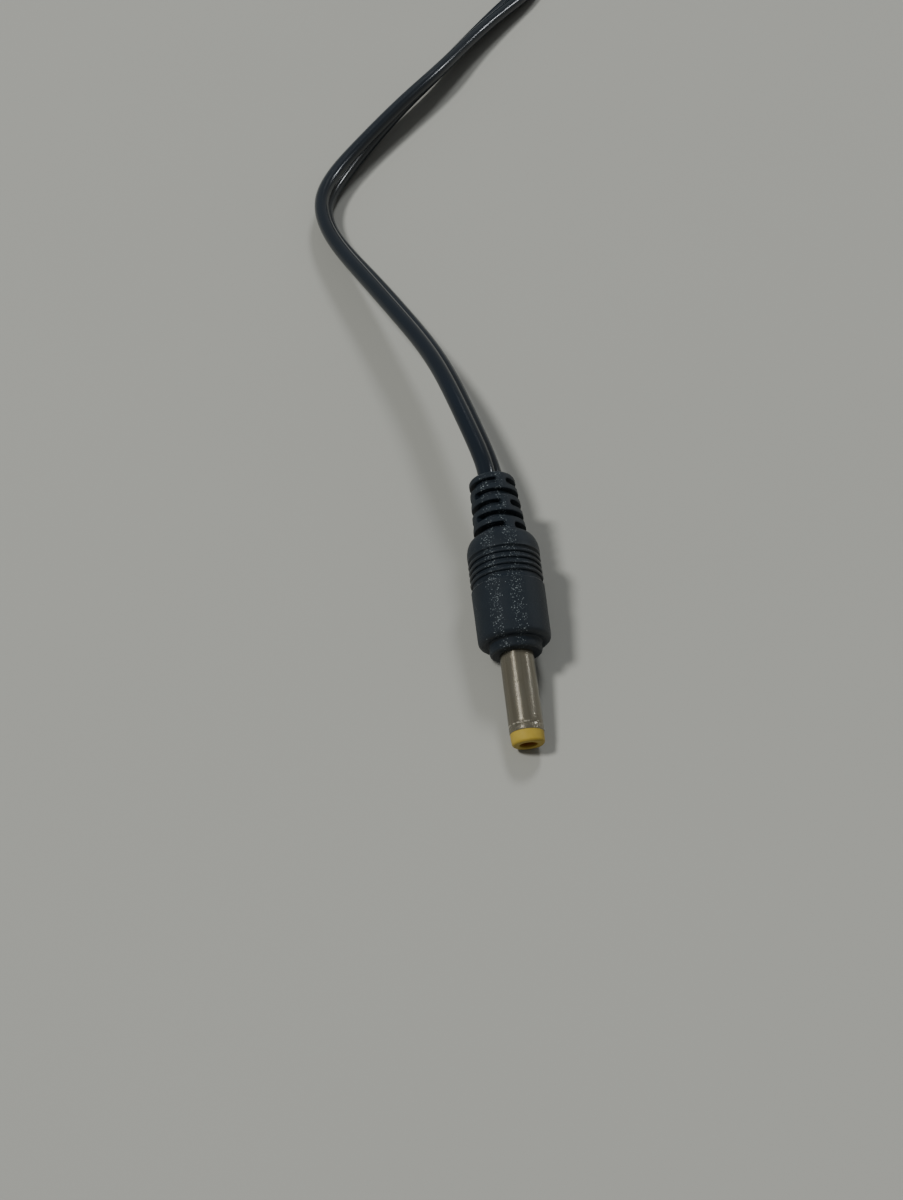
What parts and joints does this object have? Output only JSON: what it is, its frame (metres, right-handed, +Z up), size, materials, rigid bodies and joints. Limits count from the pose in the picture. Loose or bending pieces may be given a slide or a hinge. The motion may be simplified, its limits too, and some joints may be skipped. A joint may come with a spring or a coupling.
{
  "type": "dc barrel plug",
  "caption": "Moulded DC power plug with a round barrel, insulated mouth and slotted strain relief, on a twin cord with bared wire ends.",
  "frame": {"origin": "middle of the laid plug's own box, cord left out, on the surface that it lies on", "axes": "+Y runs from the plug's mouth towards the cord, +Z is up; the plug leans nose down onto its mouth's lip and its body's front edge"},
  "size_m": [0.0584, 0.2311, 0.0114],
  "materials": {
    "overmould": "moulded black PVC, fine matte texture",
    "inner_mould": "natural moulded polyethylene",
    "barrel_sleeve": "nickel plated, satin drawn tube",
    "tip_insulator": "moulded yellow insulator, satin",
    "center_contact": "plated spring contact",
    "rear_bush": "moulded bush",
    "ground_lug": "stamped tag, tin plated",
    "plus_strands": "bare copper strands",
    "minus_strands": "bare copper strands",
    "plus_solder": "solder",
    "minus_solder": "solder",
    "cord_in_plug": "extruded black PVC",
    "cord_lead": "extruded black PVC, glossy",
    "cord_coil": "extruded black PVC, glossy",
    "coil_tie": "plastic covered twist tie",
    "cord_tail": "extruded black PVC, glossy",
    "lead_end_plus": "extruded black PVC, glossy",
    "lead_end_minus": "extruded black PVC, glossy",
    "tinned_end_plus": "tinned copper strands",
    "tinned_end_minus": "tinned copper strands"
  },
  "bodies": {
    "root": {"overmould": "overmould", "inner_mould": "inner_mould", "barrel_sleeve": "barrel_sleeve", "tip_insulator": "tip_insulator", "center_contact": "center_contact", "rear_bush": "rear_bush", "ground_lug": "ground_lug", "plus_strands": "plus_strands", "minus_strands": "minus_strands", "plus_solder": "plus_solder", "minus_solder": "minus_solder", "cord_in_plug": "cord_in_plug", "cord_lead": "cord_lead", "cord_coil": "cord_coil", "coil_tie": "coil_tie", "cord_tail": "cord_tail", "lead_end_plus": "lead_end_plus", "lead_end_minus": "lead_end_minus", "tinned_end_plus": "tinned_end_plus", "tinned_end_minus": "tinned_end_minus"}
  },
  "joints": []
}
